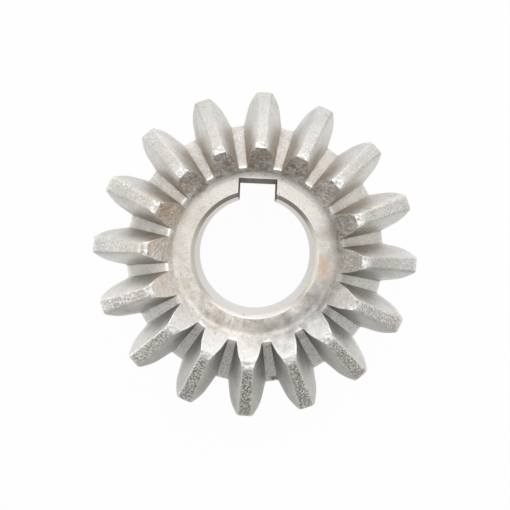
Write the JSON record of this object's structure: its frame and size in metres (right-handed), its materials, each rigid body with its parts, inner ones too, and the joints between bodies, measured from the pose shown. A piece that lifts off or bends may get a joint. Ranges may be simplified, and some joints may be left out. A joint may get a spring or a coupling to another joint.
{
  "type": "pinion gear",
  "caption": "Straight bevel pinion in bare cast steel, with straight tapered teeth, a short plain hub and a keyed through bore, for turning a drive through a right angle.",
  "frame": {"origin": "on the axis of the bore, in the plane of the hub's back face, which the gear rests on", "axes": "+Z along the bore axis towards the small end of the teeth, +Y through the middle of the keyway"},
  "size_m": [0.0684, 0.0684, 0.031],
  "materials": {
    "cast_steel": "shot-blasted bare casting, with the bore, its chamfers, the keyway and the tips of the teeth machined bright"
  },
  "bodies": {
    "root": {"pinion_gear": "cast_steel"}
  },
  "joints": []
}
